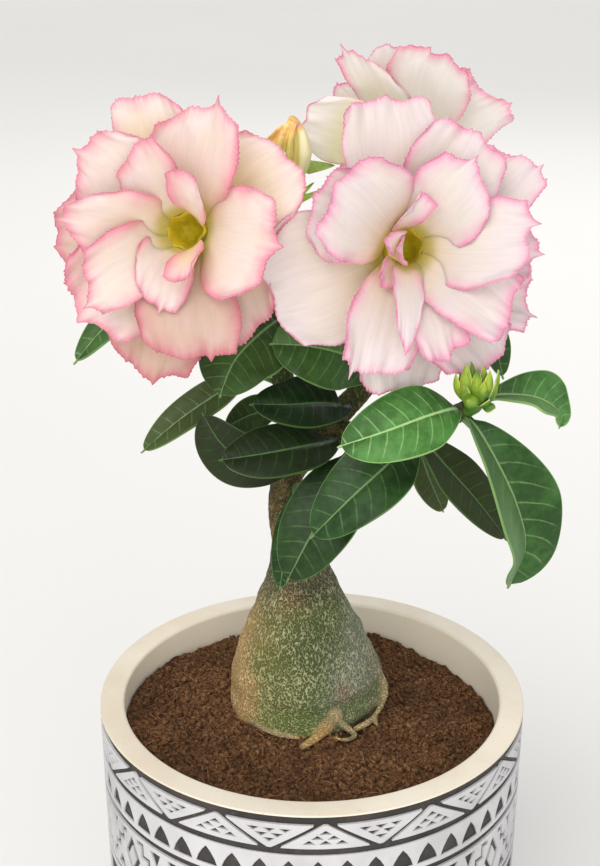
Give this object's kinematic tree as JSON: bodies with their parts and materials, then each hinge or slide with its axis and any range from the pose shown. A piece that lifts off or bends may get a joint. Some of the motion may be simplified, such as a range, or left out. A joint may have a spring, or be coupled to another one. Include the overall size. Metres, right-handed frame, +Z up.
{
  "type": "potted desert rose plant",
  "caption": "Flowering desert rose with a swollen base, glossy leaves and double ruffled blooms, growing in a straight-walled round ceramic planter.",
  "frame": {"origin": "middle of the pot's flat foot, on the surface it stands on", "axes": "+Z up along the pot's axis; -Y is the front, the side the picture is taken from"},
  "size_m": [0.151, 0.14, 0.3333],
  "materials": {
    "pot": "satin",
    "pot_pattern": "matte",
    "pot_ground": "matte",
    "soil": "matte",
    "bark": "matte",
    "leaf": "satin",
    "stalk": "satin",
    "petal": "matte",
    "withered": "matte",
    "bud": "satin"
  },
  "bodies": {
    "root": {"pot": "pot", "soil": "soil", "trunk": "bark", "leaf_01": "leaf", "leaf_02": "leaf", "leaf_03": "leaf", "leaf_04": "leaf", "leaf_05": "leaf", "leaf_06": "leaf", "leaf_07": "leaf", "leaf_08": "leaf", "leaf_09": "leaf", "leaf_10": "leaf", "leaf_11": "leaf", "leaf_12": "leaf", "leaf_13": "leaf", "leaf_14": "leaf", "leaf_15": "leaf", "leaf_16": "leaf", "leaf_17": "leaf", "leaf_18": "leaf", "leaf_19": "leaf", "stalks_left": "stalk", "stalks_right": "stalk", "bloom_left": "petal", "bloom_right": "petal", "bloom_back": "petal", "spent_bloom": "withered", "bud_cluster": "bud"}
  },
  "joints": []
}
